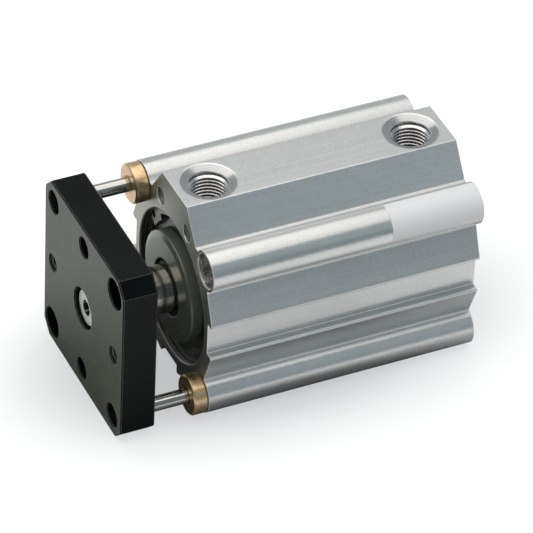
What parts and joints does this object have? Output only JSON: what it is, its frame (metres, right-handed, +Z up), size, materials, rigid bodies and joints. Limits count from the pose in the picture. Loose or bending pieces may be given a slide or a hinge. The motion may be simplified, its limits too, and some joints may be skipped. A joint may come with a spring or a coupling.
{
  "type": "short-stroke pneumatic cylinder",
  "caption": "Compact pneumatic cylinder with extruded lobed barrel, threaded air ports, guide rods in bronze bushes and a drilled square flange plate on the piston rod.",
  "frame": {"origin": "centre of the two rear mounting holes, on the cylinder's axis in the rear face of the barrel", "axes": "+X along the piston rod's out-stroke, +Y to the left seen from behind towards the plate, +Z up towards the air ports"},
  "size_m": [0.126, 0.0641, 0.0715],
  "materials": {
    "anodised": "clear anodised, brushed lengthwise, faced ends",
    "head": "satin grey anodised",
    "spring_steel": "phosphated spring steel",
    "seal_rubber": "matt nitrile rubber",
    "bearing_bronze": "sintered bronze, satin",
    "bumper_elastomer": "matt polyurethane",
    "plug": "dark moulded plastic",
    "label": "silver-white film, satin",
    "chrome": "hard chrome, polished",
    "piston": "turned",
    "magnet": "plastic-bonded ferrite",
    "zinc": "zinc plated",
    "black_anodised": "black anodised, satin"
  },
  "bodies": {
    "cylinder": {"barrel": "anodised", "front_head": "head", "rear_cover": "head", "front_retaining_ring": "spring_steel", "rear_retaining_ring": "spring_steel", "front_head_o_ring": "seal_rubber", "rear_cover_o_ring": "seal_rubber", "rod_bush": "bearing_bronze", "rod_seal": "seal_rubber", "rod_wiper": "seal_rubber", "front_bumper": "bumper_elastomer", "rear_bumper": "bumper_elastomer", "upper_guide_bush": "bearing_bronze", "lower_guide_bush": "bearing_bronze", "front_duct_plugs": "plug", "rear_duct_plugs": "plug", "label": "label"},
    "slide": {"piston_rod": "chrome", "piston_front_half": "piston", "piston_rear_half": "piston", "magnet_ring": "magnet", "front_piston_seal": "seal_rubber", "rear_piston_seal": "seal_rubber", "piston_o_ring": "seal_rubber", "piston_screw": "zinc", "flange_plate": "black_anodised", "centre_screw": "zinc", "upper_guide_rod": "chrome", "lower_guide_rod": "chrome", "guide_rod_screws": "zinc", "guide_rod_washers": "zinc"}
  },
  "joints": [
    {"name": "stroke", "type": "slide", "parent": "cylinder", "child": "slide", "axis": [1, 0, 0], "range_m": [0, 0.05]}
  ]
}
